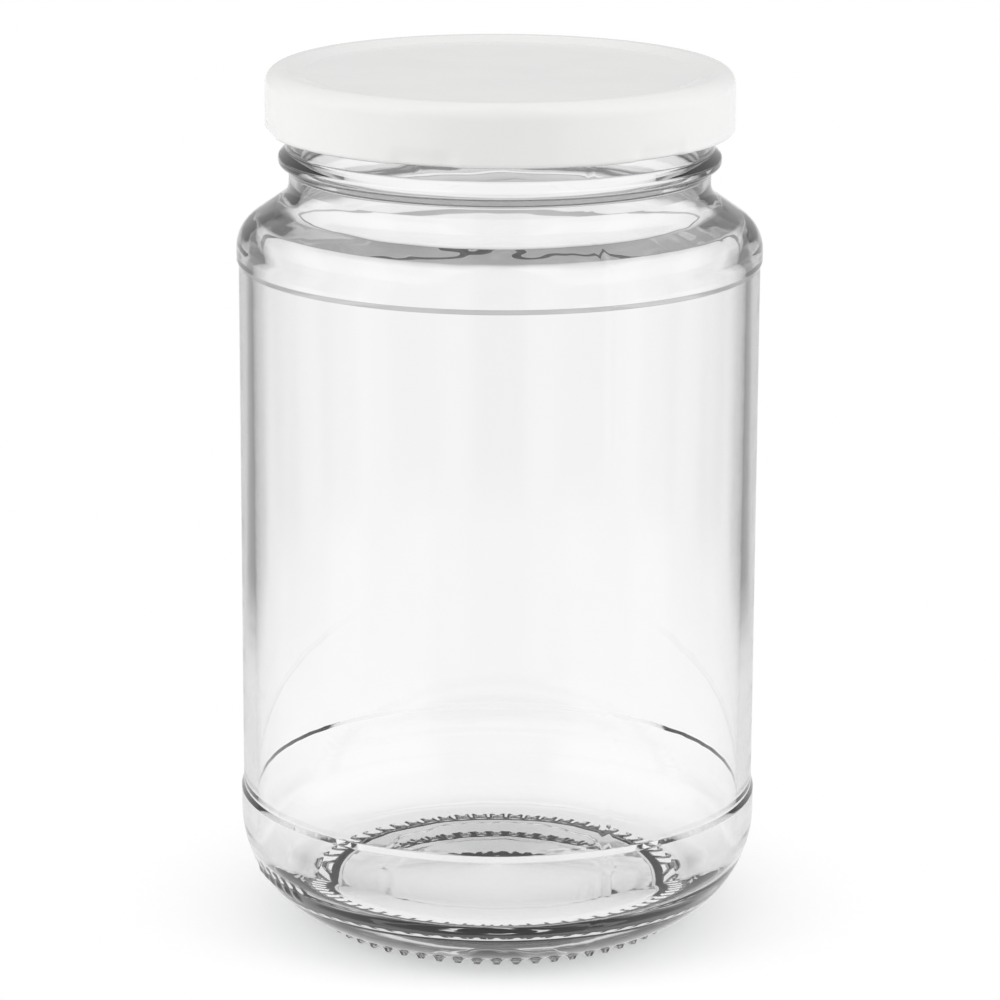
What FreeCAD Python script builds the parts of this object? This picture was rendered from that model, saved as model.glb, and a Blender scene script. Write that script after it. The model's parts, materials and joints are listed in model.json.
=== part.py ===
"""Clear glass preserve jar closed by an 84 mm class lacquered steel lug cap.

Three pieces on one axis: the blown glass jar, the pressed steel cap and the moulded sealing
ring inside the cap. The origin is the centre of the circle that the jar stands on, and +Z is up.
"""
import FreeCAD, Part
import math
import os
import Sketcher

# Driving sizes in millimetres: (name, value, what it measures).
SIZES = [
    # the jar's outside, from the table up
    ("jar_height", 158.0, "table to the sealing rim of the glass"),
    ("knurl_height", 1.0, "how far the bars hold the base off the table"),
    ("bearing_inner", 31.1, "radius of the bearing ring's inner edge"),
    ("bearing_outer", 33.9, "radius of the bearing ring's outer edge"),
    ("bearing_round", 1.0, "rounding of both edges of the bearing ring"),
    ("heel_corner", 7.0, "height at which the heel's chamfer would meet the side"),
    ("heel_round", 20.3, "radius of the rounded heel"),
    ("band_radius", 47.85, "outside radius of the heel band and of the shoulder"),
    ("panel_inset", 0.4, "how deep the label panel lies inside the two bands"),
    ("panel_low", 24.4, "height of the label panel's lower edge"),
    ("panel_drop", 33.6, "sealing rim down to the label panel's upper edge"),
    ("panel_step", 0.9, "height over which the panel steps in"),
    ("shoulder_drop", 28.25, "rim down to where the side would meet the sloping shoulder"),
    ("shoulder_round", 6.4, "radius of the shoulder's outer curve"),
    ("neck_drop", 21.55, "rim down to where the sloping shoulder would meet the neck"),
    ("neck_round", 3.6, "radius of the hollow where the shoulder runs into the neck"),
    # the finish, which the cap closes
    ("finish_radius", 38.8, "outside radius of the wall inside the cap"),
    ("rim_wall", 2.6, "thickness of the glass between mouth and finish"),
    ("rim_round", 0.9, "rounding of the sealing rim"),
    ("neck_inset", 0.55, "how far the neck's waist lies inside the finish"),
    ("bead_stand", 1.35, "how far the transfer bead stands out from the finish"),
    ("bead_drop", 15.3, "rim down to the middle of the bead"),
    ("bead_width", 1.3, "height of the bead's crown"),
    ("bead_flank", 1.35, "height of the slope on each side of the crown"),
    ("bead_round", 0.8, "rounding of the bead"),
    # the jar's inside
    ("wall", 2.5, "thickness of the glass side wall"),
    ("bore_round", 6.0, "radius of the curve from the mouth into the shoulder"),
    ("shoulder_inside_round", 4.0, "radius of the shoulder's inner curve"),
    ("shoulder_inside_drop", 1.2, "how much lower the shoulder's corners lie on the inside"),
    ("floor_edge", 8.0, "height at which the inside wall would meet the floor"),
    ("floor_round", 8.0, "radius of the curve from the wall to the floor"),
    ("floor_centre", 9.6, "height of the domed floor at the axis"),
    # the push-up under the base
    ("pushup_edge_width", 1.7, "width of the push-up's step inside the bearing ring"),
    ("pushup_edge_height", 2.2, "height of the push-up where its step ends"),
    ("pushup_round", 2.5, "radius of the curve between step and dome"),
    ("pushup_centre", 4.8, "height of the push-up at the axis"),
    # the knurled bearing ring
    ("knurl_count", 60, "number of bars round the bearing ring"),
    ("knurl_width", 2.1, "width of one bar"),
    ("knurl_round", 0.7, "rounding of a bar's lower edges"),
    ("knurl_inside", 0.2, "how far a bar runs past the ring's inner edge"),
    ("knurl_outside", 0.2, "how far a bar runs past the ring's outer edge"),
    ("knurl_root", 1.4, "how deep a bar is rooted in the base"),
    # the steel cap
    ("plate", 0.25, "thickness of the lacquered tinplate"),
    ("cap_height", 11.2, "height of the cap"),
    ("thread_room", 3.45, "room between the finish and the inside of the skirt"),
    ("crown_round", 2.7, "radius of the cap's top edge"),
    ("cap_panel_inset", 0.6, "how far the sunken centre panel lies inside the mouth"),
    ("cap_panel_slope", 3.0, "width of the slope between panel and crown"),
    ("cap_panel_depth", 0.9, "how deep the centre panel is sunk"),
    ("cap_panel_round", 1.4, "rounding of the two edges of that slope"),
    ("curl_radius", 0.8, "radius of the rolled lower edge"),
    ("lug_count", 6, "number of lugs turned in under the glass thread"),
    ("lug_angle", 16.0, "angle that one lug spans"),
    ("lug_turn", 11.5, "angle from the X axis to the middle of the first lug"),
    ("lug_clearance", 0.65, "running room between the finish and a lug's tip"),
    ("lug_lift", 0.15, "how far a lug lies above the cap's lower edge"),
    ("lug_thickness", 1.1, "thickness of the flattened curl that makes a lug"),
    ("lug_round", 0.4, "rounding of a lug's tip"),
    # the sealing ring between cap and glass
    ("seal_thickness", 0.85, "height from the sealing rim to the roof of the cap's channel"),
    ("seal_inset", 0.1, "how far the seal starts outside the mouth"),
    ("seal_margin", 0.4, "room between the channel's inner bend and the seal's top"),
    ("seal_room", 1.25, "room between the seal and the skirt"),
    ("seal_side", 0.35, "height of the seal's outer side"),
    ("seal_gap", 0.04, "room between the seal's slope and the plate above it"),
]

# Sizes and heights that follow from them, as expressions on the sheet.
BORE = "( finish_radius - rim_wall )"
INSIDE = "( band_radius - panel_inset - wall )"
CAP_ROOF = "( jar_height + seal_thickness )"
CAP_TOP = "( jar_height + seal_thickness + plate )"
CAP_LOW = "( jar_height + seal_thickness + plate - cap_height )"
SKIRT = "( finish_radius + thread_room + plate )"
CAP_PANEL = "( finish_radius - rim_wall - cap_panel_inset )"

doc = FreeCAD.newDocument("GlassJar")
sheet = doc.addObject("Spreadsheet::Sheet", "Sizes")
for row, (name, value, meaning) in enumerate(SIZES, start=1):
    sheet.set(f"A{row}", str(value))
    sheet.setAlias(f"A{row}", name)
    sheet.set(f"B{row}", meaning)
doc.recompute()


def sized(text):
    """Turn 'wall + plate' into the expression that reads those cells of the sheet."""
    words = text.replace("(", " ( ").replace(")", " ) ").split()
    names = {size[0] for size in SIZES}
    return " ".join("Sizes." + word if word in names else word for word in words)


def new_body(label):
    body = doc.addObject("PartDesign::Body", label)
    body.Label = label
    return body


def origin_feature(body, role):
    return next(item for item in body.Origin.OriginFeatures if item.Role == role)


def new_sketch(body, name, role):
    sketch = body.newObject("Sketcher::SketchObject", name)
    sketch.AttachmentSupport = [(origin_feature(body, role), "")]
    sketch.MapMode = "FlatFace"
    return sketch


def place_point(sketch, geometry, end, across, up):
    """Tie one end of a line, or a point, to the sheet, measured from the sketch's origin."""
    if across == "0":
        sketch.addConstraint(Sketcher.Constraint("PointOnObject", geometry, end, -2))
    else:
        value = sketch.evalExpression(sized(across))
        index = sketch.addConstraint(Sketcher.Constraint("DistanceX", -1, 1, geometry, end, value))
        sketch.setExpression(f"Constraints[{index}]", sized(across))
    if up == "0":
        sketch.addConstraint(Sketcher.Constraint("PointOnObject", geometry, end, -1))
    else:
        value = sketch.evalExpression(sized(up))
        index = sketch.addConstraint(Sketcher.Constraint("DistanceY", -1, 1, geometry, end, value))
        sketch.setExpression(f"Constraints[{index}]", sized(up))


def set_radius(sketch, geometry, radius):
    value = sketch.evalExpression(sized(radius))
    index = sketch.addConstraint(Sketcher.Constraint("Radius", geometry, value))
    sketch.setExpression(f"Constraints[{index}]", sized(radius))


def draw_outline(sketch, corners):
    """Draw a closed outline of straight sides through its corners, each (across, up, rounding).

    All three are expressions on the sheet, and a rounding of None leaves the corner sharp. A
    rounded corner keeps its crossing point, so that its size can change without moving a side.
    """
    points = [
        FreeCAD.Vector(
            float(sketch.evalExpression(sized(across))), float(sketch.evalExpression(sized(up))), 0
        )
        for across, up, rounding in corners
    ]
    count = len(corners)
    starts, ends, arcs = [None] * count, [None] * count, [None] * count
    for index, (across, up, rounding) in enumerate(corners):
        corner = points[index]
        if rounding is None:
            starts[index] = ends[index - 1] = corner
            continue
        radius = float(sketch.evalExpression(sized(rounding)))
        inward = (points[index - 1] - corner).normalize()
        onward = (points[(index + 1) % count] - corner).normalize()
        half = inward.getAngle(onward) / 2
        ends[index - 1] = corner + inward * (radius / math.tan(half))
        starts[index] = corner + onward * (radius / math.tan(half))
        middle = corner + (inward + onward).normalize() * (radius / math.sin(half))
        turns_left = inward.cross(onward).z < 0
        first, last = (ends[index - 1], starts[index]) if turns_left else (starts[index], ends[index - 1])
        angles = [math.atan2(point.y - middle.y, point.x - middle.x) for point in (first, last)]
        arcs[index] = (middle, radius, angles, turns_left)
    sides = [sketch.addGeometry(Part.LineSegment(a, b), False) for a, b in zip(starts, ends)]
    for index, (across, up, rounding) in enumerate(corners):
        before, after = sides[index - 1], sides[index]
        if rounding is None:
            sketch.addConstraint(Sketcher.Constraint("Coincident", before, 2, after, 1))
            place_point(sketch, after, 1, across, up)
            continue
        middle, radius, angles, turns_left = arcs[index]
        circle = Part.Circle(middle, FreeCAD.Vector(0, 0, 1), radius)
        arc = sketch.addGeometry(Part.ArcOfCircle(circle, *angles), False)
        near, far = (1, 2) if turns_left else (2, 1)
        sketch.addConstraint(Sketcher.Constraint("Tangent", before, 2, arc, near))
        sketch.addConstraint(Sketcher.Constraint("Tangent", arc, far, after, 1))
        crossing = sketch.addGeometry(Part.Point(points[index]), True)
        sketch.addConstraint(Sketcher.Constraint("PointOnObject", crossing, 1, before))
        sketch.addConstraint(Sketcher.Constraint("PointOnObject", crossing, 1, after))
        place_point(sketch, crossing, 1, across, up)
        set_radius(sketch, arc, rounding)
    return sketch


def revolve(body, name, sketch, angle=None):
    """Turn a section about the axis: all the way round, or by an angle split evenly about it."""
    turned = body.newObject("PartDesign::Revolution", name)
    turned.Profile = sketch
    turned.ReferenceAxis = (sketch, ["V_Axis"])
    if angle is not None:
        turned.Midplane = True
        turned.setExpression("Angle", sized(angle))
    doc.recompute()
    return turned


def repeat_round(body, name, feature, count):
    """Repeat one feature evenly round the axis."""
    pattern = body.newObject("PartDesign::PolarPattern", name)
    pattern.Originals = [feature]
    pattern.Axis = (origin_feature(body, "Z_Axis"), [""])
    pattern.Angle = 360
    pattern.setExpression("Occurrences", sized(count))
    body.Tip = pattern
    doc.recompute()
    return pattern


def make_jar():
    """The glass: one turned wall with a recessed label panel, and the knurled bearing ring."""
    body = new_body("jar")
    panel = "band_radius - panel_inset"
    neck = "finish_radius - neck_inset"
    bead = "finish_radius + bead_stand"
    shoulder_low, shoulder_high = "jar_height - shoulder_drop", "jar_height - neck_drop"
    crown_low = "jar_height - bead_drop - bead_width / 2"
    crown_high = "jar_height - bead_drop + bead_width / 2"
    section = draw_outline(new_sketch(body, "GlassSection", "XZ_Plane"), [
        ("0", "pushup_centre", None),
        ("bearing_inner - pushup_edge_width", "pushup_edge_height", "pushup_round"),
        ("bearing_inner", "knurl_height", "bearing_round"),
        ("bearing_outer", "knurl_height", "bearing_round"),
        ("band_radius", "heel_corner", "heel_round"),
        ("band_radius", "panel_low", None),
        (panel, "panel_low + panel_step", None),
        (panel, "jar_height - panel_drop - panel_step", None),
        ("band_radius", "jar_height - panel_drop", None),
        ("band_radius", shoulder_low, "shoulder_round"),
        (neck, shoulder_high, "neck_round"),
        (neck, crown_low + " - bead_flank", "bead_round"),
        (bead, crown_low, "bead_round"),
        (bead, crown_high, "bead_round"),
        ("finish_radius", crown_high + " + bead_flank", "bead_round"),
        ("finish_radius", "jar_height", "rim_round"),
        (BORE, "jar_height", "rim_round"),
        (BORE, shoulder_high + " - shoulder_inside_drop", "bore_round"),
        (INSIDE, shoulder_low + " - shoulder_inside_drop", "shoulder_inside_round"),
        (INSIDE, "floor_edge", "floor_round"),
        ("0", "floor_centre", None),
    ])
    revolve(body, "GlassWall", section)

    bar_end = new_sketch(body, "KnurlBarEnd", "YZ_Plane")
    bar_end.setExpression(".AttachmentOffset.Base.z", sized("bearing_inner - knurl_inside"))
    draw_outline(bar_end, [
        ("-1 * knurl_width / 2", "0", "knurl_round"),
        ("knurl_width / 2", "0", "knurl_round"),
        ("knurl_width / 2", "knurl_height + knurl_root", None),
        ("-1 * knurl_width / 2", "knurl_height + knurl_root", None),
    ])
    bar = body.newObject("PartDesign::Pad", "KnurlBar")
    bar.Profile = bar_end
    bar.setExpression("Length", sized("bearing_outer + knurl_outside - bearing_inner + knurl_inside"))
    doc.recompute()
    repeat_round(body, "KnurledRing", bar, "knurl_count")
    return body


def draw_curl(sketch, across, up):
    """Draw the rolled edge: the plate bent inwards through three quarters of a turn."""
    centre = FreeCAD.Vector(
        float(sketch.evalExpression(sized(across))), float(sketch.evalExpression(sized(up))), 0
    )
    faces = ("curl_radius", "curl_radius - plate")
    radii = [float(sketch.evalExpression(sized(face))) for face in faces]
    bends = []
    for face, radius in zip(faces, radii):
        circle = Part.Circle(centre, FreeCAD.Vector(0, 0, 1), radius)
        bends.append(sketch.addGeometry(Part.ArcOfCircle(circle, math.pi / 2, 2 * math.pi), False))
        set_radius(sketch, bends[-1], face)
    tops = [centre + FreeCAD.Vector(0, radius, 0) for radius in radii]
    sides = [centre + FreeCAD.Vector(radius, 0, 0) for radius in radii]
    free_end = sketch.addGeometry(Part.LineSegment(*tops), False)
    skirt_end = sketch.addGeometry(Part.LineSegment(*sides), False)
    outer, inner = bends
    for line, end in ((free_end, 1), (skirt_end, 2)):
        sketch.addConstraint(Sketcher.Constraint("Coincident", line, 1, outer, end))
        sketch.addConstraint(Sketcher.Constraint("Coincident", line, 2, inner, end))
    sketch.addConstraint(Sketcher.Constraint("Coincident", outer, 3, inner, 3))
    sketch.addConstraint(Sketcher.Constraint("Vertical", outer, 3, outer, 1))
    sketch.addConstraint(Sketcher.Constraint("Horizontal", outer, 3, outer, 2))
    sketch.addConstraint(Sketcher.Constraint("Vertical", free_end))
    sketch.addConstraint(Sketcher.Constraint("Horizontal", skirt_end))
    place_point(sketch, outer, 3, across, up)
    return sketch


def make_cap():
    """The pressed steel cap: sunken panel, crown, skirt, rolled edge and the lugs turned in from it."""
    body = new_body("lid")
    slope_end = CAP_PANEL + " + cap_panel_slope"
    curl_up = CAP_LOW + " + curl_radius"
    section = draw_outline(new_sketch(body, "CapSection", "XZ_Plane"), [
        ("0", CAP_TOP + " - cap_panel_depth", None),
        ("0", CAP_ROOF + " - cap_panel_depth", None),
        (CAP_PANEL, CAP_ROOF + " - cap_panel_depth", "cap_panel_round"),
        (slope_end, CAP_ROOF, "cap_panel_round"),
        (SKIRT + " - plate", CAP_ROOF, "crown_round - plate"),
        (SKIRT + " - plate", curl_up, None),
        (SKIRT, curl_up, None),
        (SKIRT, CAP_TOP, "crown_round"),
        (slope_end, CAP_TOP, "cap_panel_round"),
        (CAP_PANEL, CAP_TOP + " - cap_panel_depth", "cap_panel_round"),
    ])
    revolve(body, "CapShell", section)

    roll = draw_curl(new_sketch(body, "CurlSection", "XZ_Plane"), SKIRT + " - curl_radius", curl_up)
    revolve(body, "RolledEdge", roll)

    # one lug, the curl flattened and pushed in under the thread
    tip, root = "finish_radius + lug_clearance", SKIRT + " - curl_radius"
    low, high = CAP_LOW + " + lug_lift", CAP_LOW + " + lug_lift + lug_thickness"
    tongue = new_sketch(body, "LugSection", "XZ_Plane")
    tongue.AttachmentOffset = FreeCAD.Placement(
        FreeCAD.Vector(), FreeCAD.Rotation(FreeCAD.Vector(0, 1, 0), 1)
    )
    tongue.setExpression(".AttachmentOffset.Rotation.Angle", sized("lug_turn"))
    draw_outline(tongue, [
        (tip, low, "lug_round"),
        (root, low, None),
        (root, high, None),
        (tip, high, "lug_round"),
    ])
    lug = revolve(body, "Lug", tongue, "lug_angle")
    repeat_round(body, "Lugs", lug, "lug_count")
    return body


def make_seal():
    """The ring of soft sealing compound that fills the cap's channel and lies on the glass rim."""
    body = new_body("seal")
    inner, outer = BORE + " + seal_inset", SKIRT + " - plate - seal_room"
    # the plate's underside above the seal's inner edge, less the seal's own gap
    risen = "( seal_inset + cap_panel_inset ) * cap_panel_depth / cap_panel_slope"
    under_slope = f"{CAP_ROOF} - cap_panel_depth + {risen} - seal_gap"
    section = draw_outline(new_sketch(body, "SealSection", "XZ_Plane"), [
        (inner, "jar_height", None),
        (outer, "jar_height", None),
        (outer, "jar_height + seal_side", None),
        (SKIRT + " - crown_round", CAP_ROOF, None),
        (CAP_PANEL + " + cap_panel_slope + seal_margin", CAP_ROOF, None),
        (inner, under_slope, None),
    ])
    revolve(body, "SealRing", section)
    return body


bodies = [make_jar(), make_cap(), make_seal()]
doc.recompute()

for item in doc.Objects:
    if {"Invalid", "Error"} & set(item.State):
        raise RuntimeError(f"{item.Label} did not build: {item.State}")
for body in bodies:
    shape = body.Shape
    if shape.isNull() or not shape.isValid() or len(shape.Solids) != 1:
        raise RuntimeError(f"{body.Label} is not one sound solid")

os.makedirs("parts", exist_ok=True)
for body in bodies:
    body.Shape.exportStep(f"parts/{body.Label}.step")
    box = body.Shape.BoundBox
    print(
        f"{body.Label}: {body.Shape.Volume / 1000:.2f} cm3, {len(body.Shape.Faces)} faces,"
        f" x {box.XMin:.2f} to {box.XMax:.2f}, z {box.ZMin:.2f} to {box.ZMax:.2f}"
    )
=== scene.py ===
import json
import math

import bpy
from mathutils import Matrix, Vector

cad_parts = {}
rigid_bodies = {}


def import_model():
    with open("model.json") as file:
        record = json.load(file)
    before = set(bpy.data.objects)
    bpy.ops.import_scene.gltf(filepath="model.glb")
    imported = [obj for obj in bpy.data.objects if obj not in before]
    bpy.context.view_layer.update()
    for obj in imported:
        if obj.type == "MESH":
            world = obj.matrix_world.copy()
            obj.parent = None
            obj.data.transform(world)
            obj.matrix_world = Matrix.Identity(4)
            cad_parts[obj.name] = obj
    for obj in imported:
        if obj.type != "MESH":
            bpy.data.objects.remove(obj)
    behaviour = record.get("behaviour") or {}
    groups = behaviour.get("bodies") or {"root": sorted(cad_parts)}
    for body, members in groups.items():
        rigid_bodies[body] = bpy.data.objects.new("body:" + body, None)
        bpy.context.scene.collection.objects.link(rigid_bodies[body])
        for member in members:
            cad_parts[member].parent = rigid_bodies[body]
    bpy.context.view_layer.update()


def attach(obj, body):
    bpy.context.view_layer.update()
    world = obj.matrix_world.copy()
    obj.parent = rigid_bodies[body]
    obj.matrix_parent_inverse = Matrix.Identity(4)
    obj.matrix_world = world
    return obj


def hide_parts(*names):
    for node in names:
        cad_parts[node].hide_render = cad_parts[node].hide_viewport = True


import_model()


# ---- Camera ----
# A long lens on a stand 0.8 m in front of the jar and a little above it, looking down at it. It
# stands a quarter of a millimetre off the jar's middle and is turned a hair off level.
CAMERA_PLACE = (0.000258, -0.800, 0.2842)
CAMERA_DOWN = math.radians(14.42)
CAMERA_ROLL = 0.0042
CAMERA_LENS = 161.05

scene = bpy.context.scene
camera_data = bpy.data.cameras.new("camera")
camera_data.lens = CAMERA_LENS
camera_data.clip_start = 0.01
camera = bpy.data.objects.new("camera", camera_data)
scene.collection.objects.link(camera)
camera.location = CAMERA_PLACE
level = Matrix.Rotation(math.pi / 2 - CAMERA_DOWN, 3, "X")
camera.rotation_euler = (level @ Matrix.Rotation(CAMERA_ROLL, 3, "Z")).to_euler()
scene.camera = camera


# ---- Jar ----
# Soda-lime flint glass, blown in a mould in one piece: a straight side with a shallow label
# panel, a short shoulder, a neck with a transfer bead, a threaded finish under the cap, and a
# thick domed base that stands on a ring of moulded bars. Sizes are in millimetres.
MM = 0.001
JAR_HEIGHT = 158.0
BAND_RADIUS = 47.85
PANEL_RADIUS = 47.45
NECK_RADIUS = 38.25
BEAD_RADIUS = 40.15
FINISH_RADIUS = 38.8
MOUTH_RADIUS = 36.2
WALL = 2.5
INSIDE_RADIUS = PANEL_RADIUS - WALL
PUSH_UP = 4.8
FLOOR_MIDDLE = 9.6
FLOOR_SIDE = 8.0
BEARING_INNER = 31.1
BEARING_OUTER = 33.9
BEARING_HEIGHT = 1.0
BAR_COUNT = 60
THREAD_COUNT = 6
THREAD_LOW = 152.8
THREAD_RISE = 4.0
THREAD_STAND = 1.3
THREAD_ROW_LOW = 149.6
THREAD_ROW = 0.4
THREAD_ROWS = 17
SEAM_ANGLE = math.radians(-66)
SEAM_STAND = 0.06
DOTS_ROUND = 90
DOT_MIDDLE = math.radians(-154) / math.tau
DOT_RUN = 0.035
DOT_HEIGHT = 10.5
DOT_STAND = 0.4
BAFFLE_RADIUS = 21.5
BAFFLE_WAVE = 4.0
JAR_STEPS = 420

JAR_OUTLINE = [
    # (radius, height, rounding), from the middle of the underside round to the floor inside
    (0, PUSH_UP, 0),
    (29.4, 2.2, 2.5),
    (BEARING_INNER, BEARING_HEIGHT, 1),
    (BEARING_OUTER, BEARING_HEIGHT, 1),
    (BEARING_OUTER + 0.35, BEARING_HEIGHT + 0.15, 0),
    (BEARING_OUTER + 0.7, BEARING_HEIGHT + 0.3, 0),
    (BAND_RADIUS, 7.0, 20.3),
    (BAND_RADIUS, 24.4, 0.3),
    (PANEL_RADIUS, 25.3, 0.3),
    (PANEL_RADIUS, 123.5, 0.3),
    (BAND_RADIUS, 124.4, 0.3),
    (BAND_RADIUS, 129.75, 6.4),
    (NECK_RADIUS, 136.45, 3.6),
    (NECK_RADIUS, 140.7, 0.8),
    (BEAD_RADIUS, 142.05, 0.8),
    (BEAD_RADIUS, 143.35, 0.8),
    (FINISH_RADIUS, 144.7, 0.8),
    *[(FINISH_RADIUS, THREAD_ROW_LOW + THREAD_ROW * row, 0) for row in range(THREAD_ROWS)],
    (FINISH_RADIUS, JAR_HEIGHT, 0.9),
    (MOUTH_RADIUS, JAR_HEIGHT, 0.9),
    (MOUTH_RADIUS, 134.3, 6),
    (INSIDE_RADIUS, 129.4, 4),
    (INSIDE_RADIUS, FLOOR_SIDE, 8),
    (BAFFLE_RADIUS + 1.2, 8.80, 0),
    (BAFFLE_RADIUS + 0.5, 8.83, 0),
    (BAFFLE_RADIUS, 8.93, 0),
    (BAFFLE_RADIUS - 0.5, 8.90, 0),
    (BAFFLE_RADIUS - 1.2, 8.90, 0),
    (0, FLOOR_MIDDLE, 0),
]


# How finely an outline is cut: the longest step along an arc, its widest turn and its fewest steps,
# then the shortest straight run that gets guard rows, and how far these stand from its ends.
ARC_STEP = 0.8
ARC_TURN = math.radians(11)
ARC_LEAST = 3
LONG_RUN = 1.5
GUARD = 0.2


def rounded(corners, spacing=JAR_HEIGHT):
    """Points of an outline with (across, up, rounding) corners; straight runs are cut at spacing."""
    ends = []
    for number, (across, high, rounding) in enumerate(corners):
        corner = Vector((across, high))
        if rounding == 0:
            ends.append([corner])
            continue
        back = (Vector(corners[number - 1][:2]) - corner).normalized()
        on = (Vector(corners[number + 1][:2]) - corner).normalized()
        half = back.angle(on) / 2
        middle = corner + (back + on).normalized() * (rounding / math.sin(half))
        first = corner + back * (rounding / math.tan(half)) - middle
        last = corner + on * (rounding / math.tan(half)) - middle
        sweep = math.atan2(first.x * last.y - first.y * last.x, first.dot(last))
        by_turn = math.ceil(abs(sweep) / ARC_TURN)
        by_length = math.ceil(rounding * abs(sweep) / ARC_STEP)
        steps = max(ARC_LEAST, by_turn, by_length)
        turns = [Matrix.Rotation(sweep * step / steps, 2) for step in range(steps + 1)]
        ends.append([middle + turn @ first for turn in turns])
    points = list(ends[0])
    for arc in ends[1:]:
        run = arc[0] - points[-1]
        if run.length > LONG_RUN:
            # two rows close to its ends keep a straight run straight under smooth shading
            guard = run.normalized() * GUARD
            start, stop = points[-1] + guard, arc[0] - guard
            cuts = max(1, math.ceil((stop - start).length / spacing))
            points += [start.lerp(stop, cut / cuts) for cut in range(cuts + 1)]
        points += arc
    return points


def outline_object(name, points):
    """A chain of points in the XZ plane, in metres, for a tree to turn about Z."""
    data = bpy.data.meshes.new(name)
    places = [(point.x * MM, 0, point.y * MM) for point in points]
    data.from_pydata(places, [(i, i + 1) for i in range(len(places) - 1)], [])
    made = bpy.data.objects.new(name, data)
    scene.collection.objects.link(made)
    return made


def add(tree, kind, *inputs, **settings):
    """Add one node; inputs are values, nodes or sockets for its open sockets, None to skip one."""
    made = tree.nodes.new(kind)
    for setting, value in settings.items():
        setattr(made, setting, value)
    for socket, value in zip([socket for socket in made.inputs if socket.enabled], inputs):
        if isinstance(value, bpy.types.Node):
            value = next(output for output in value.outputs if output.enabled)
        if isinstance(value, bpy.types.NodeSocket):
            tree.links.new(value, socket)
        elif value is not None:
            socket.default_value = value
    return made


def new_tree(name, sizes):
    """A geometry tree that takes an outline and named sizes and gives a piece."""
    tree = bpy.data.node_groups.new(name, "GeometryNodeTree")
    tree.interface.new_socket("Outline", in_out="INPUT", socket_type="NodeSocketGeometry")
    for size, kind in sizes.items():
        tree.interface.new_socket(size, in_out="INPUT", socket_type="NodeSocket" + kind)
    tree.interface.new_socket("Piece", in_out="OUTPUT", socket_type="NodeSocketGeometry")
    return tree, tree.nodes.new("NodeGroupInput").outputs


def end_tree(tree, piece):
    """Shade the piece smooth, make it real, give it its material and hand it out."""
    smooth = add(tree, "GeometryNodeSetShadeSmooth", piece)
    real = add(tree, "GeometryNodeRealizeInstances", smooth)
    material = tree.interface.new_socket("Finish", in_out="INPUT", socket_type="NodeSocketMaterial")
    given = next(item for item in tree.nodes if item.type == "GROUP_INPUT")
    dressed = add(tree, "GeometryNodeSetMaterial", real, None, given.outputs[material.name])
    add(tree, "NodeGroupOutput", dressed)


def run_tree(made, tree, sizes):
    """Run a tree on an object with these sizes, and keep the result as its plain mesh."""
    modifier = made.modifiers.new(tree.name, "NODES")
    modifier.node_group = tree
    for item in tree.interface.items_tree:
        if item.in_out == "INPUT" and item.name in sizes:
            modifier[item.identifier] = sizes[item.name]
    seen = made.evaluated_get(bpy.context.evaluated_depsgraph_get())
    finished = bpy.data.meshes.new_from_object(seen)
    made.modifiers.remove(modifier)
    made.data = finished
    return made


# The turning: copies of the outline's points stand in even steps round the axis as one skin, and
# its two long edges and both poles are merged shut.
MERGE = 0.001 * MM
turning, given = new_tree("turning", {"Steps": "Int"})
points = add(turning, "GeometryNodeAttributeDomainSize", given["Outline"], component="MESH")
columns = add(turning, "ShaderNodeMath", given["Steps"], 1.0, operation="ADD")
skin = add(turning, "GeometryNodeMeshGrid", 1.0, 1.0, columns, points)
index = add(turning, "GeometryNodeInputIndex")
part = add(turning, "ShaderNodeMath", index, points, operation="DIVIDE")
column = add(turning, "ShaderNodeMath", part, operation="FLOOR")
passed = add(turning, "ShaderNodeMath", column, points, operation="MULTIPLY")
row = add(turning, "ShaderNodeMath", index, passed, operation="SUBTRACT")
place = add(turning, "GeometryNodeInputPosition")
point = add(turning, "GeometryNodeSampleIndex", given["Outline"], place, row, data_type="FLOAT_VECTOR")
share = add(turning, "ShaderNodeMath", column, given["Steps"], operation="DIVIDE")
angle = add(turning, "ShaderNodeMath", share, math.tau, operation="MULTIPLY")
spun = add(turning, "ShaderNodeVectorRotate", point, None, angle, rotation_type="Z_AXIS")
stood = add(turning, "GeometryNodeSetPosition", skin, None, spun)
closed = add(turning, "GeometryNodeMergeByDistance", stood, None, MERGE)
add(turning, "NodeGroupOutput", closed)

# The jar's own moulding. A fade is a pair of places: where a form starts to give way, and where it
# has gone. Round the jar it counts in pitches from the form's middle.
SMOOTH = {"interpolation_type": "SMOOTHSTEP"}
BAR_FADE = (0.12, 0.36)
RING_INNER_FADE = (-0.1 * MM, 0.8 * MM)
RING_OUTER_FADE = (0.0, 0.5 * MM)
UNDERSIDE_FADE = (3.0 * MM, 4.0 * MM)
THREAD_FADE = (0.2 * MM, 1.1 * MM)
THREAD_END_FADE = (0.36, 0.44)
SEAM_FADE = (0.0005, 0.0045)
DOT_FADE = (0.4 * MM, 1.2 * MM)
BAFFLE_FADE = (1.0 * MM, 6.0 * MM)
BAFFLE_NOISE = 3.0
SKIN = 0.1 * MM
OUTWARD = 0.15
FLOOR_LOW = 7.0 * MM
moulding, given = new_tree("jar moulding", {
    "Steps": "Int", "Bars": "Int", "Ring inner": "Float", "Ring outer": "Float",
    "Threads": "Int", "Thread low": "Float", "Thread rise": "Float", "Thread stand": "Float",
    "Seam": "Float", "Seam stand": "Float", "Dot height": "Float", "Dot stand": "Float",
    "Baffle": "Float", "Baffle wave": "Float",
})
turned = add(moulding, "GeometryNodeGroup", node_tree=turning)
moulding.links.new(given["Outline"], turned.inputs["Outline"])
moulding.links.new(given["Steps"], turned.inputs["Steps"])
place = add(moulding, "GeometryNodeInputPosition")
axes = add(moulding, "ShaderNodeSeparateXYZ", place)
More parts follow.
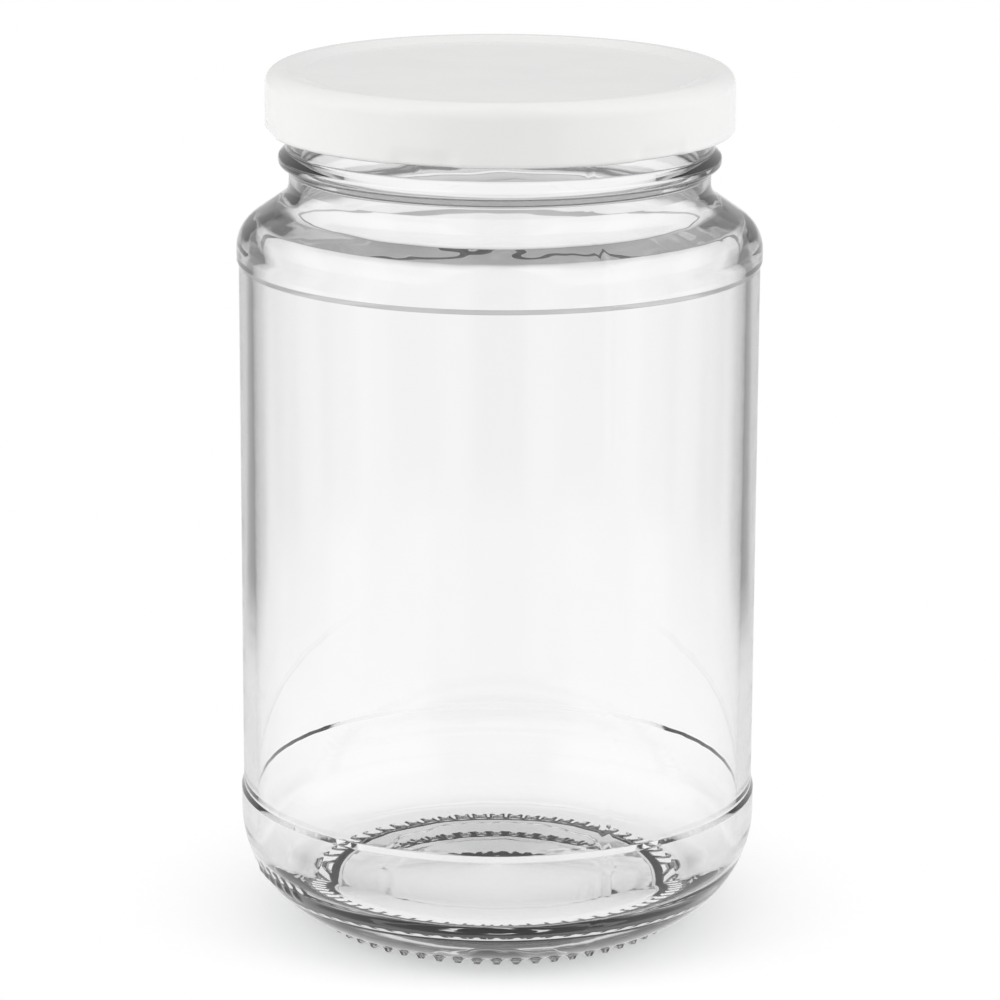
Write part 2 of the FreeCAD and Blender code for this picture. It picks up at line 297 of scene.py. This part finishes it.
flat = add(moulding, "ShaderNodeVectorMath", place, (1, 1, 0), operation="MULTIPLY")
radius = add(moulding, "ShaderNodeVectorMath", flat, operation="LENGTH")
angle = add(moulding, "ShaderNodeMath", axes.outputs["Y"], axes.outputs["X"], operation="ARCTAN2")
turns = add(moulding, "ShaderNodeMath", angle, math.tau, operation="DIVIDE")

# The bars: the bearing ring is drawn down to the table in even places round it.
bars = add(moulding, "ShaderNodeMath", turns, given["Bars"], operation="MULTIPLY")
nearest = add(moulding, "ShaderNodeMath", bars, operation="ROUND")
off = add(moulding, "ShaderNodeMath", bars, nearest, operation="SUBTRACT")
off = add(moulding, "ShaderNodeMath", off, operation="ABSOLUTE")
bar = add(moulding, "ShaderNodeMapRange", off, *BAR_FADE, 1.0, 0.0, **SMOOTH)
inner = add(moulding, "ShaderNodeMath", radius, given["Ring inner"], operation="SUBTRACT")
outer = add(moulding, "ShaderNodeMath", radius, given["Ring outer"], operation="SUBTRACT")
inner = add(moulding, "ShaderNodeMapRange", inner, *RING_INNER_FADE, **SMOOTH)
outer = add(moulding, "ShaderNodeMapRange", outer, *RING_OUTER_FADE, 1.0, 0.0, **SMOOTH)
low = add(moulding, "ShaderNodeMapRange", axes.outputs["Z"], *UNDERSIDE_FADE, 1.0, 0.0)
ring = add(moulding, "ShaderNodeMath", inner, outer, operation="MULTIPLY")
ring = add(moulding, "ShaderNodeMath", ring, low, operation="MULTIPLY")
press = add(moulding, "ShaderNodeMath", ring, bar, operation="MULTIPLY")
drop = add(moulding, "ShaderNodeMath", press, axes.outputs["Z"], operation="MULTIPLY")
drop = add(moulding, "ShaderNodeMath", drop, -1.0, operation="MULTIPLY")
down = add(moulding, "ShaderNodeCombineXYZ", None, None, drop)
pressed = add(moulding, "GeometryNodeSetPosition", turned, None, None, down)

# The thread: short ridges on the finish, each rising a little as it goes round.
starts = add(moulding, "ShaderNodeMath", turns, given["Threads"], operation="MULTIPLY")
nearest = add(moulding, "ShaderNodeMath", starts, operation="ROUND")
along = add(moulding, "ShaderNodeMath", starts, nearest, operation="SUBTRACT")
rise = add(moulding, "ShaderNodeMath", along, given["Thread rise"], operation="MULTIPLY")
crest = add(moulding, "ShaderNodeMath", rise, given["Thread low"], operation="ADD")
above = add(moulding, "ShaderNodeMath", axes.outputs["Z"], crest, operation="SUBTRACT")
above = add(moulding, "ShaderNodeMath", above, operation="ABSOLUTE")
ridge = add(moulding, "ShaderNodeMapRange", above, *THREAD_FADE, 1.0, 0.0, **SMOOTH)
end = add(moulding, "ShaderNodeMath", along, operation="ABSOLUTE")
end = add(moulding, "ShaderNodeMapRange", end, *THREAD_END_FADE, 1.0, 0.0, **SMOOTH)
outside = add(moulding, "ShaderNodeMath", radius, FINISH_RADIUS * MM - SKIN, operation="GREATER_THAN")
stand = add(moulding, "ShaderNodeMath", ridge, end, operation="MULTIPLY")
stand = add(moulding, "ShaderNodeMath", stand, outside, operation="MULTIPLY")
stand = add(moulding, "ShaderNodeMath", stand, given["Thread stand"], operation="MULTIPLY")
outwards = add(moulding, "ShaderNodeVectorMath", flat, operation="NORMALIZE")
outwards = add(moulding, "ShaderNodeVectorMath", outwards, stand, operation="SCALE")
threaded = add(moulding, "GeometryNodeSetPosition", pressed, None, None, outwards)

# The seam where the mould's halves meet, on opposite sides, and the row of dots low on the heel.
normal = add(moulding, "GeometryNodeInputNormal")
radial = add(moulding, "ShaderNodeVectorMath", flat, operation="NORMALIZE")
facing = add(moulding, "ShaderNodeVectorMath", normal, radial, operation="DOT_PRODUCT")
facing = add(moulding, "ShaderNodeMath", facing, OUTWARD, operation="GREATER_THAN")
halves = add(moulding, "ShaderNodeMath", angle, given["Seam"], operation="SUBTRACT")
halves = add(moulding, "ShaderNodeMath", halves, math.pi, operation="DIVIDE")
nearest = add(moulding, "ShaderNodeMath", halves, operation="ROUND")
aside = add(moulding, "ShaderNodeMath", halves, nearest, operation="SUBTRACT")
aside = add(moulding, "ShaderNodeMath", aside, operation="ABSOLUTE")
seam = add(moulding, "ShaderNodeMapRange", aside, *SEAM_FADE, 1.0, 0.0)
seam = add(moulding, "ShaderNodeMath", seam, given["Seam stand"], operation="MULTIPLY")
dots = add(moulding, "ShaderNodeMath", turns, DOTS_ROUND, operation="MULTIPLY")
nearest = add(moulding, "ShaderNodeMath", dots, operation="ROUND")
dots = add(moulding, "ShaderNodeMath", dots, nearest, operation="SUBTRACT")
dots = add(moulding, "ShaderNodeMath", dots, math.tau / DOTS_ROUND, operation="MULTIPLY")
dots = add(moulding, "ShaderNodeMath", dots, radius, operation="MULTIPLY")
level = add(moulding, "ShaderNodeMath", axes.outputs["Z"], given["Dot height"], operation="SUBTRACT")
dot = add(moulding, "ShaderNodeCombineXYZ", dots, level)
dot = add(moulding, "ShaderNodeVectorMath", dot, operation="LENGTH")
dot = add(moulding, "ShaderNodeMapRange", dot, *DOT_FADE, 1.0, 0.0, **SMOOTH)
run = add(moulding, "ShaderNodeMath", turns, DOT_MIDDLE, operation="SUBTRACT")
run = add(moulding, "ShaderNodeMath", run, operation="ABSOLUTE")
run = add(moulding, "ShaderNodeMath", run, DOT_RUN, operation="LESS_THAN")
dot = add(moulding, "ShaderNodeMath", dot, run, operation="MULTIPLY")
dot = add(moulding, "ShaderNodeMath", dot, given["Dot stand"], operation="MULTIPLY")
marks = add(moulding, "ShaderNodeMath", seam, dot, operation="ADD")
marks = add(moulding, "ShaderNodeMath", marks, facing, operation="MULTIPLY")
marks = add(moulding, "ShaderNodeVectorMath", radial, marks, operation="SCALE")
marked = add(moulding, "GeometryNodeSetPosition", threaded, None, None, marks)

# The mark that the baffle left on the blank: a fine uneven ring on the floor inside.
wave = add(moulding, "ShaderNodeTexNoise", radial, BAFFLE_NOISE, 3.0, noise_dimensions="3D")
wave = add(moulding, "ShaderNodeMath", wave.outputs[0], 0.5, operation="SUBTRACT")
wave = add(moulding, "ShaderNodeMath", wave, given["Baffle wave"], operation="MULTIPLY")
reach = add(moulding, "ShaderNodeMath", radius, given["Baffle"], operation="SUBTRACT")
reach = add(moulding, "ShaderNodeMath", reach, operation="ABSOLUTE")
reach = add(moulding, "ShaderNodeMapRange", reach, *BAFFLE_FADE, 1.0, 0.0, **SMOOTH)
floor = add(moulding, "ShaderNodeMath", axes.outputs["Z"], FLOOR_LOW, operation="GREATER_THAN")
wave = add(moulding, "ShaderNodeMath", wave, reach, operation="MULTIPLY")
wave = add(moulding, "ShaderNodeMath", wave, floor, operation="MULTIPLY")
wave = add(moulding, "ShaderNodeVectorMath", radial, wave, operation="SCALE")
waved = add(moulding, "GeometryNodeSetPosition", marked, None, None, wave)
end_tree(moulding, waved)


def linear(hex_colour):
    """An sRGB hex colour as the linear colour a shader takes."""
    parts = [int(hex_colour[i : i + 2], 16) / 255 for i in (1, 3, 5)]
    parts = [part / 12.92 if part <= 0.04045 else ((part + 0.055) / 1.055) ** 2.4 for part in parts]
    return (*parts, 1.0)


# Flint glass, blown and fire-polished: clear and glossy, with a trace of grey where it is thick. Its
# skin is uneven at the shoulder and in the base, so the eye gets soft streaks there, drawn out round
# the jar. The side wall is nearly true, and the neck comes between. The lamps' light goes through it
# as through a faintly grey film, which keeps its shadow light.
GLASS_IOR = 1.52
GLASS_SHADOW = "#D8DADA"
GLASS_TINT = "#B9BDBE"
GLASS_DENSITY = 3.0
RIPPLE = 16.0 * MM
RIPPLE_SQUEEZE = 2.6
RIPPLE_DEPTH = 0.22 * MM
SHOULDER_FROM = (122.0 * MM, 131.0 * MM)
NECK_FROM = (134.0 * MM, 138.0 * MM)
BASE_UP_TO = (12.0 * MM, 26.0 * MM)
SIDE_RIPPLE = 0.12
NECK_RIPPLE = 0.3
BASE_RIPPLE = 0.35
glass = bpy.data.materials.new("flint glass")
glass.use_nodes = True
tree = glass.node_tree
tree.nodes.clear()
clear = add(tree, "ShaderNodeBsdfPrincipled")
clear.inputs["Base Color"].default_value = linear("#FFFFFF")
clear.inputs["Roughness"].default_value = 0.0
clear.inputs["IOR"].default_value = GLASS_IOR
clear.inputs["Transmission Weight"].default_value = 1.0
where = add(tree, "ShaderNodeTexCoord")
axes = add(tree, "ShaderNodeSeparateXYZ", where.outputs["Object"])
squeeze = (1, 1, RIPPLE_SQUEEZE)
drawn = add(tree, "ShaderNodeVectorMath", where.outputs["Object"], squeeze, operation="MULTIPLY")
ripple = add(tree, "ShaderNodeTexNoise", drawn, 1 / RIPPLE, 1.5, noise_dimensions="3D")
high = add(tree, "ShaderNodeMapRange", axes.outputs["Z"], *SHOULDER_FROM, SIDE_RIPPLE, 1.0, **SMOOTH)
deep = add(tree, "ShaderNodeMapRange", axes.outputs["Z"], *BASE_UP_TO, BASE_RIPPLE, 0.0, **SMOOTH)
neck = add(tree, "ShaderNodeMapRange", axes.outputs["Z"], *NECK_FROM, 1.0, NECK_RIPPLE, **SMOOTH)
uneven = add(tree, "ShaderNodeMath", high, neck, operation="MULTIPLY")
uneven = add(tree, "ShaderNodeMath", uneven, deep, operation="MAXIMUM")
ripple = add(tree, "ShaderNodeMath", ripple.outputs[0], uneven, operation="MULTIPLY")
skin = add(tree, "ShaderNodeBump", 1.0, RIPPLE_DEPTH, 1.0, ripple)
tree.links.new(skin.outputs["Normal"], clear.inputs["Normal"])
through = add(tree, "ShaderNodeBsdfTransparent", linear(GLASS_SHADOW))
rays = add(tree, "ShaderNodeLightPath")
mixed = add(tree, "ShaderNodeMixShader", rays.outputs["Is Shadow Ray"], clear, through)
tint = add(tree, "ShaderNodeVolumeAbsorption", linear(GLASS_TINT), GLASS_DENSITY)
add(tree, "ShaderNodeOutputMaterial", mixed, tint)

jar = outline_object("glass_jar", rounded(JAR_OUTLINE))
run_tree(jar, moulding, {
    "Steps": JAR_STEPS,
    "Bars": BAR_COUNT,
    "Ring inner": BEARING_INNER * MM,
    "Ring outer": BEARING_OUTER * MM,
    "Threads": THREAD_COUNT,
    "Thread low": THREAD_LOW * MM,
    "Thread rise": THREAD_RISE * MM,
    "Thread stand": THREAD_STAND * MM,
    "Seam": SEAM_ANGLE,
    "Seam stand": SEAM_STAND * MM,
    "Dot height": DOT_HEIGHT * MM,
    "Dot stand": DOT_STAND * MM,
    "Baffle": BAFFLE_RADIUS * MM,
    "Baffle wave": BAFFLE_WAVE * MM,
    "Finish": glass,
})
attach(jar, "root")
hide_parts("jar")


# ---- Lid ----
# A lug cap pressed from 0.25 mm tinplate and stove-enamelled white: a sunken centre panel, a
# raised crown, a plain skirt, and a rolled edge pushed in at six places to catch the thread.
LID_TOP = 159.1
LID_LOW = 147.9
SKIRT_RADIUS = 42.5
PLATE = 0.25
LID_PANEL = 35.6
LID_SLOPE = 38.6
LID_SUNK = 0.9
PANEL_BEND = 1.4
CROWN_BEND = 2.7
CURL = 0.8
CURL_STEP = math.radians(18)
CURL_STEPS = 15
CURL_HEIGHT = 2.02 * CURL
LUG_COUNT = 6
LUG_TIP = 39.45
LUG_TURN = math.radians(11.5)
LUG_FLAT = 0.22
DENT = 0.5
LID_ROW = 1.0
LID_STEPS = 432


def rolled(radius):
    """The rolled edge at this radius: from the skirt, down and inwards, three quarters round."""
    middle = Vector((SKIRT_RADIUS - CURL, LID_LOW + CURL))
    turns = [Matrix.Rotation(-CURL_STEP * step, 2) for step in range(CURL_STEPS + 1)]
    return [middle + turn @ Vector((radius, 0)) for turn in turns]


lid_inside = rounded([
    (0, LID_TOP - PLATE - LID_SUNK, 0),
    (LID_PANEL, LID_TOP - PLATE - LID_SUNK, PANEL_BEND),
    (LID_SLOPE, LID_TOP - PLATE, PANEL_BEND),
    (SKIRT_RADIUS - PLATE, LID_TOP - PLATE, CROWN_BEND - PLATE),
    (SKIRT_RADIUS - PLATE, LID_LOW + CURL, 0),
], spacing=LID_ROW)
lid_outside = rounded([
    (SKIRT_RADIUS, LID_LOW + CURL, 0),
    (SKIRT_RADIUS, LID_TOP, CROWN_BEND),
    (LID_SLOPE, LID_TOP, PANEL_BEND),
    (LID_PANEL, LID_TOP - LID_SUNK, PANEL_BEND),
    (0, LID_TOP - LID_SUNK, 0),
], spacing=LID_ROW)
edge = rolled(CURL - PLATE) + rolled(CURL)[::-1]
lid = outline_object("lug_cap", lid_inside[:-1] + edge + lid_outside[1:])

# The lugs: over each, the rolled edge is pressed flat and inwards, which dents the skirt above it.
LUG_FADE = (0.095, 0.15)
DENT_FADE = (0.9 * MM, 3.4 * MM)
pressing, given = new_tree("lid pressing", {
    "Steps": "Int", "Lugs": "Int", "First lug": "Float", "Edge": "Float", "Edge radius": "Float",
    "Curl height": "Float", "Lug reach": "Float", "Lug flat": "Float", "Dent": "Float",
})
turned = add(pressing, "GeometryNodeGroup", node_tree=turning)
pressing.links.new(given["Outline"], turned.inputs["Outline"])
pressing.links.new(given["Steps"], turned.inputs["Steps"])
place = add(pressing, "GeometryNodeInputPosition")
axes = add(pressing, "ShaderNodeSeparateXYZ", place)
flat = add(pressing, "ShaderNodeVectorMath", place, (1, 1, 0), operation="MULTIPLY")
radius = add(pressing, "ShaderNodeVectorMath", flat, operation="LENGTH")
radial = add(pressing, "ShaderNodeVectorMath", flat, operation="NORMALIZE")
angle = add(pressing, "ShaderNodeMath", axes.outputs["Y"], axes.outputs["X"], operation="ARCTAN2")
angle = add(pressing, "ShaderNodeMath", angle, given["First lug"], operation="SUBTRACT")
pitches = add(pressing, "ShaderNodeMath", angle, math.tau, operation="DIVIDE")
pitches = add(pressing, "ShaderNodeMath", pitches, given["Lugs"], operation="MULTIPLY")
nearest = add(pressing, "ShaderNodeMath", pitches, operation="ROUND")
off = add(pressing, "ShaderNodeMath", pitches, nearest, operation="SUBTRACT")
off = add(pressing, "ShaderNodeMath", off, operation="ABSOLUTE")
lug = add(pressing, "ShaderNodeMapRange", off, *LUG_FADE, 1.0, 0.0, **SMOOTH)
high = add(pressing, "ShaderNodeMath", axes.outputs["Z"], given["Edge"], operation="SUBTRACT")
curl = add(pressing, "ShaderNodeMath", high, given["Curl height"], operation="LESS_THAN")
curl = add(pressing, "ShaderNodeMath", curl, lug, operation="MULTIPLY")
depth = add(pressing, "ShaderNodeMath", given["Edge radius"], radius, operation="SUBTRACT")
depth = add(pressing, "ShaderNodeMath", depth, given["Curl height"], operation="DIVIDE")
reach = add(pressing, "ShaderNodeMath", depth, given["Lug reach"], operation="MULTIPLY")
reach = add(pressing, "ShaderNodeMath", reach, curl, operation="MULTIPLY")
dent = add(pressing, "ShaderNodeMapRange", high, *DENT_FADE, 1.0, 0.0, **SMOOTH)
dent = add(pressing, "ShaderNodeMath", dent, lug, operation="MULTIPLY")
spare = add(pressing, "ShaderNodeMath", 1.0, depth, operation="SUBTRACT", use_clamp=True)
dent = add(pressing, "ShaderNodeMath", dent, spare, operation="MULTIPLY")
dent = add(pressing, "ShaderNodeMath", dent, given["Dent"], operation="MULTIPLY")
inwards = add(pressing, "ShaderNodeMath", reach, dent, operation="ADD")
inwards = add(pressing, "ShaderNodeMath", inwards, -1.0, operation="MULTIPLY")
sunk = add(pressing, "ShaderNodeMath", high, given["Lug flat"], operation="MULTIPLY")
sunk = add(pressing, "ShaderNodeMath", sunk, curl, operation="MULTIPLY")
sunk = add(pressing, "ShaderNodeMath", sunk, -1.0, operation="MULTIPLY")
push = add(pressing, "ShaderNodeVectorMath", radial, inwards, operation="SCALE")
down = add(pressing, "ShaderNodeCombineXYZ", None, None, sunk)
push = add(pressing, "ShaderNodeVectorMath", push, down, operation="ADD")
lugged = add(pressing, "GeometryNodeSetPosition", turned, None, None, push)
end_tree(pressing, lugged)

# White stove enamel, rolled on and baked: a soft gloss that breaks up a little over its orange peel.
# Its thickness drifts across the cap, which varies both the white and the gloss by a hair.
ENAMEL_THIN = "#E7E8E7"
ENAMEL_THICK = "#EDEDEB"
ENAMEL_IOR = 1.5
ENAMEL_DRIFT = 20.0 * MM
ENAMEL_GLOSS = (0.12, 0.2)
ORANGE_PEEL = 1.6 * MM
ORANGE_PEEL_DEPTH = 0.01 * MM
enamel = bpy.data.materials.new("white stove enamel")
enamel.use_nodes = True
tree = enamel.node_tree
tree.nodes.clear()
coat = add(tree, "ShaderNodeBsdfPrincipled")
coat.inputs["IOR"].default_value = ENAMEL_IOR
where = add(tree, "ShaderNodeTexCoord")
peel = add(tree, "ShaderNodeTexNoise", where.outputs["Object"], 1 / ORANGE_PEEL, 2.0, noise_dimensions="3D")
skin = add(tree, "ShaderNodeBump", 1.0, ORANGE_PEEL_DEPTH, 1.0, peel.outputs[0])
tree.links.new(skin.outputs["Normal"], coat.inputs["Normal"])
drift = add(tree, "ShaderNodeTexNoise", where.outputs["Object"], 1 / ENAMEL_DRIFT, 2.0, noise_dimensions="3D")
thin = linear(ENAMEL_THIN)
thick = linear(ENAMEL_THICK)
tone = add(tree, "ShaderNodeMix", drift.outputs[0], thin, thick, data_type="RGBA")
gloss = add(tree, "ShaderNodeMapRange", drift.outputs[0], 0.3, 0.7, *ENAMEL_GLOSS)
tree.links.new(next(output for output in tone.outputs if output.enabled), coat.inputs["Base Color"])
tree.links.new(gloss.outputs["Result"], coat.inputs["Roughness"])
add(tree, "ShaderNodeOutputMaterial", coat)

run_tree(lid, pressing, {
    "Steps": LID_STEPS,
    "Lugs": LUG_COUNT,
    "First lug": LUG_TURN,
    "Edge": LID_LOW * MM,
    "Edge radius": SKIRT_RADIUS * MM,
    "Curl height": CURL_HEIGHT * MM,
    "Lug reach": (SKIRT_RADIUS - 2 * CURL - LUG_TIP) * MM,
    "Lug flat": LUG_FLAT,
    "Dent": DENT * MM,
    "Finish": enamel,
})
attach(lid, "root")
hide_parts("lid")


# ---- Seal ----
# A low ring of soft off-white sealing compound, flowed into the cap's channel as a paste and cured
# there, so that the rim of the glass beds into it.

# Cured sealing compound: a dull skin with low swells a millimetre or so across, like soft rubber.
COMPOUND_COLOUR = "#DEDACF"
COMPOUND_ROUGHNESS = 0.55
COMPOUND_GRAIN = 1.2 * MM
COMPOUND_DEPTH = 0.04 * MM
COMPOUND_BUMP = 0.6
compound = bpy.data.materials.new("sealing compound")
compound.use_nodes = True
tree = compound.node_tree
tree.nodes.clear()
soft = add(tree, "ShaderNodeBsdfPrincipled")
soft.inputs["Base Color"].default_value = linear(COMPOUND_COLOUR)
soft.inputs["Roughness"].default_value = COMPOUND_ROUGHNESS
where = add(tree, "ShaderNodeTexCoord")
scale = 1 / COMPOUND_GRAIN
grain = add(tree, "ShaderNodeTexNoise", where.outputs["Object"], scale, 3.0, noise_dimensions="3D")
skin = add(tree, "ShaderNodeBump", COMPOUND_BUMP, COMPOUND_DEPTH, 1.0, grain.outputs[0])
tree.links.new(skin.outputs["Normal"], soft.inputs["Normal"])
add(tree, "ShaderNodeOutputMaterial", soft)
seal = next(made for made in bpy.data.objects if made.type == "MESH" and made.name.startswith("seal"))
seal.data.materials.clear()
seal.data.materials.append(compound)


# ---- Table ----
# A sheet of matt white paper laid flat under the jar and far out round it. Nothing fixes the jar to
# it, and it keeps the jar's soft shadow close round the foot.
SWEEP = 3.0
SHADOW_END = (0.038, 0.075)
SHADOW_GLOW = 0.25
floor_data = bpy.data.meshes.new("table")
corners = [(-SWEEP, -SWEEP, 0), (SWEEP, -SWEEP, 0), (SWEEP, SWEEP, 0), (-SWEEP, SWEEP, 0)]
floor_data.from_pydata(corners, [], [(0, 1, 2, 3)])
table = bpy.data.objects.new("table", floor_data)
scene.collection.objects.link(table)

# Matt white paper: even and without gloss, so the eye gets only the shadow from it. Clear glass
# shows little but what is round it, so the paper is greyer in the rays that the glass sends on.
# Distances from the jar's axis are in metres, and strengths of 1 are white.
PAPER = "#F2F2F2"
WHITE = (1, 1, 1, 1)
paper = bpy.data.materials.new("white paper sweep")
paper.use_nodes = True
tree = paper.node_tree
tree.nodes.clear()
rays = add(tree, "ShaderNodeLightPath")
where = add(tree, "ShaderNodeTexCoord")
axes = add(tree, "ShaderNodeSeparateXYZ", where.outputs["Object"])
flat = add(tree, "ShaderNodeVectorMath", where.outputs["Object"], (1, 1, 0), operation="MULTIPLY")
far = add(tree, "ShaderNodeVectorMath", flat, operation="LENGTH")
forward = add(tree, "ShaderNodeMath", axes.outputs["Y"], -1.0, operation="MULTIPLY")
from_front = add(tree, "ShaderNodeMath", axes.outputs["X"], forward, operation="ARCTAN2")
from_front = add(tree, "ShaderNodeMath", from_front, operation="ABSOLUTE")

# Rays that the glass mirrored at least once before it let them out: the paper darkens outwards, and
# more so along eight spokes, which gives the edges of the glass their dark lines.
SPOKE = math.tau / 8
SPOKE_FADE = (math.radians(9), math.radians(17))
PLAIN_FADE = (0.1, 0.26)
PLAIN_TONES = (0.8, 0.52)
SPOKE_FAR = (0.17, 0.27)
SPOKE_TONES = (0.75, 0.2)
angle = add(tree, "ShaderNodeMath", axes.outputs["Y"], axes.outputs["X"], operation="ARCTAN2")
spokes = add(tree, "ShaderNodeMath", angle, SPOKE, operation="DIVIDE")
nearest = add(tree, "ShaderNodeMath", spokes, operation="ROUND")
off = add(tree, "ShaderNodeMath", spokes, nearest, operation="SUBTRACT")
off = add(tree, "ShaderNodeMath", off, SPOKE, operation="MULTIPLY")
off = add(tree, "ShaderNodeMath", off, operation="ABSOLUTE")
spoke = add(tree, "ShaderNodeMapRange", off, *SPOKE_FADE, 1.0, 0.0, **SMOOTH)
plain = add(tree, "ShaderNodeMapRange", far, *PLAIN_FADE, *PLAIN_TONES, **SMOOTH)
deep = add(tree, "ShaderNodeMapRange", far, *SPOKE_FAR, *SPOKE_TONES, **SMOOTH)
edge = add(tree, "ShaderNodeMix", spoke, plain, deep, data_type="FLOAT")

# Rays that came through the glass unmirrored: white, but for the far paper at the back, which shows
# in the shoulder.
BACK_FADE = (math.radians(110), math.radians(135))
BACK_TONE = 0.42
BACK_FAR = (0.6, 1.3)
gloom = add(tree, "ShaderNodeMapRange", from_front, *BACK_FADE, 1.0, BACK_TONE, **SMOOTH)
reach = add(tree, "ShaderNodeMapRange", far, *BACK_FAR, 1.0, gloom)
bounced = add(tree, "ShaderNodeMath", rays.outputs["Glossy Depth"], 0.5, operation="GREATER_THAN")
white = add(tree, "ShaderNodeMapRange", bounced, 0.0, 1.0, reach, edge)
seen = add(tree, "ShaderNodeEmission", WHITE, white)

# Rays off a shiny skin: nearly white, but for a darker patch on the paper in front of the jar.
PATCH_FAR = (0.14, 0.24)
PATCH_SIDE = (math.radians(24), math.radians(34))
MIRROR_TONES = (0.9, 0.4)
near = add(tree, "ShaderNodeMapRange", far, *PATCH_FAR, 0.0, 1.0, **SMOOTH)
middle = add(tree, "ShaderNodeMapRange", from_front, *PATCH_SIDE, 1.0, 0.0, **SMOOTH)
dark = add(tree, "ShaderNodeMath", near, middle, operation="MULTIPLY")
mirror = add(tree, "ShaderNodeMapRange", dark, 0.0, 1.0, *MIRROR_TONES)
mirrored = add(tree, "ShaderNodeEmission", WHITE, mirror)

# The paper itself, which turns to plain white where the shadow ends.
sheet = add(tree, "ShaderNodeBsdfDiffuse", linear(PAPER))
glow = add(tree, "ShaderNodeEmission", WHITE, SHADOW_GLOW)
lit = add(tree, "ShaderNodeAddShader", sheet, glow)
clean = add(tree, "ShaderNodeEmission", WHITE, 1.0)
away = add(tree, "ShaderNodeMapRange", far, *SHADOW_END, 0.0, 1.0, **SMOOTH)
lit = add(tree, "ShaderNodeMixShader", away, lit, clean)
shown = add(tree, "ShaderNodeMixShader", rays.outputs["Is Camera Ray"], sheet, lit)
shown = add(tree, "ShaderNodeMixShader", rays.outputs["Is Glossy Ray"], shown, mirrored)
shown = add(tree, "ShaderNodeMixShader", rays.outputs["Is Transmission Ray"], shown, seen)
add(tree, "ShaderNodeOutputMaterial", shown)
table.data.materials.append(paper)


# ---- Light ----
# Two large soft boxes on stands, one at each side and a little in front, turned to the jar's middle,
# in a plain white room. Glass and enamel show the room and not the boxes.
LAMP_WIDE = 0.7
LAMP_TALL = 0.8
LAMP_WATTS = 4.5
LAMP_ASIDE = 0.82
LAMP_FORWARD = -0.28
LAMP_HEIGHT = 0.6
LAMP_AIM = Vector((0, 0, 0.08))
for name, side in (("left_box", -1), ("right_box", 1)):
    lamp_data = bpy.data.lights.new(name, "AREA")
    lamp_data.shape = "RECTANGLE"
    lamp_data.size = LAMP_WIDE
    lamp_data.size_y = LAMP_TALL
    lamp_data.energy = LAMP_WATTS
    lamp = bpy.data.objects.new(name, lamp_data)
    scene.collection.objects.link(lamp)
    lamp.visible_glossy = False
    lamp.visible_transmission = False
    lamp.location = (side * LAMP_ASIDE, LAMP_FORWARD, LAMP_HEIGHT)
    lamp.rotation_euler = (LAMP_AIM - lamp.location).to_track_quat("-Z", "Y").to_euler()

# The room by direction, for what glass and enamel show: darker straight in front of the jar. Through
# the glass, the back of the room is grey at the horizon and dark from a few degrees above it, which
# gives the shoulder its grey band. Overhead it is bright off a shiny skin and dim through the glass.
AHEAD_SIDE = (math.radians(22), math.radians(36))
AHEAD_TONES = (0.35, 0.95)
SKY_UP = (0.0, 0.12)
SKY_TONES = (0.65, 0.12)
BACK_SIDE = (math.radians(100), math.radians(130))
BACK_SHINE = 0.72
OVERHEAD_UP = (0.3, 0.7)
OVERHEAD_TONES = (1.2, 0.35)
ROOM_LIGHT = 0.6
world = bpy.data.worlds.new("studio")
scene.world = world
world.use_nodes = True
tree = world.node_tree
tree.nodes.clear()
rays = add(tree, "ShaderNodeLightPath")
where = add(tree, "ShaderNodeTexCoord")
axes = add(tree, "ShaderNodeSeparateXYZ", where.outputs["Generated"])
forward = add(tree, "ShaderNodeMath", axes.outputs["Y"], -1.0, operation="MULTIPLY")
from_front = add(tree, "ShaderNodeMath", axes.outputs["X"], forward, operation="ARCTAN2")
from_front = add(tree, "ShaderNodeMath", from_front, operation="ABSOLUTE")
ahead = add(tree, "ShaderNodeMapRange", from_front, *AHEAD_SIDE, *AHEAD_TONES, **SMOOTH)
sky = add(tree, "ShaderNodeMapRange", axes.outputs["Z"], *SKY_UP, *SKY_TONES)
back = add(tree, "ShaderNodeMapRange", rays.outputs["Is Transmission Ray"], 0.0, 1.0, BACK_SHINE, sky)
behind = add(tree, "ShaderNodeMapRange", from_front, *BACK_SIDE, 1.0, back, **SMOOTH)
top = add(tree, "ShaderNodeMapRange", rays.outputs["Is Transmission Ray"], 0.0, 1.0, *OVERHEAD_TONES)
height = add(tree, "ShaderNodeMapRange", axes.outputs["Z"], *OVERHEAD_UP, 1.0, top, **SMOOTH)
height = add(tree, "ShaderNodeMath", height, ahead, operation="MULTIPLY")
height = add(tree, "ShaderNodeMath", height, behind, operation="MULTIPLY")
room = add(tree, "ShaderNodeBackground", WHITE, height)
soft = add(tree, "ShaderNodeBackground", WHITE, ROOM_LIGHT)
backdrop = add(tree, "ShaderNodeBackground", WHITE, 1.0)
shown = add(tree, "ShaderNodeMixShader", rays.outputs["Is Diffuse Ray"], room, soft)
shown = add(tree, "ShaderNodeMixShader", rays.outputs["Is Camera Ray"], shown, backdrop)
add(tree, "ShaderNodeOutputWorld", shown)
scene.view_settings.view_transform = "Standard"
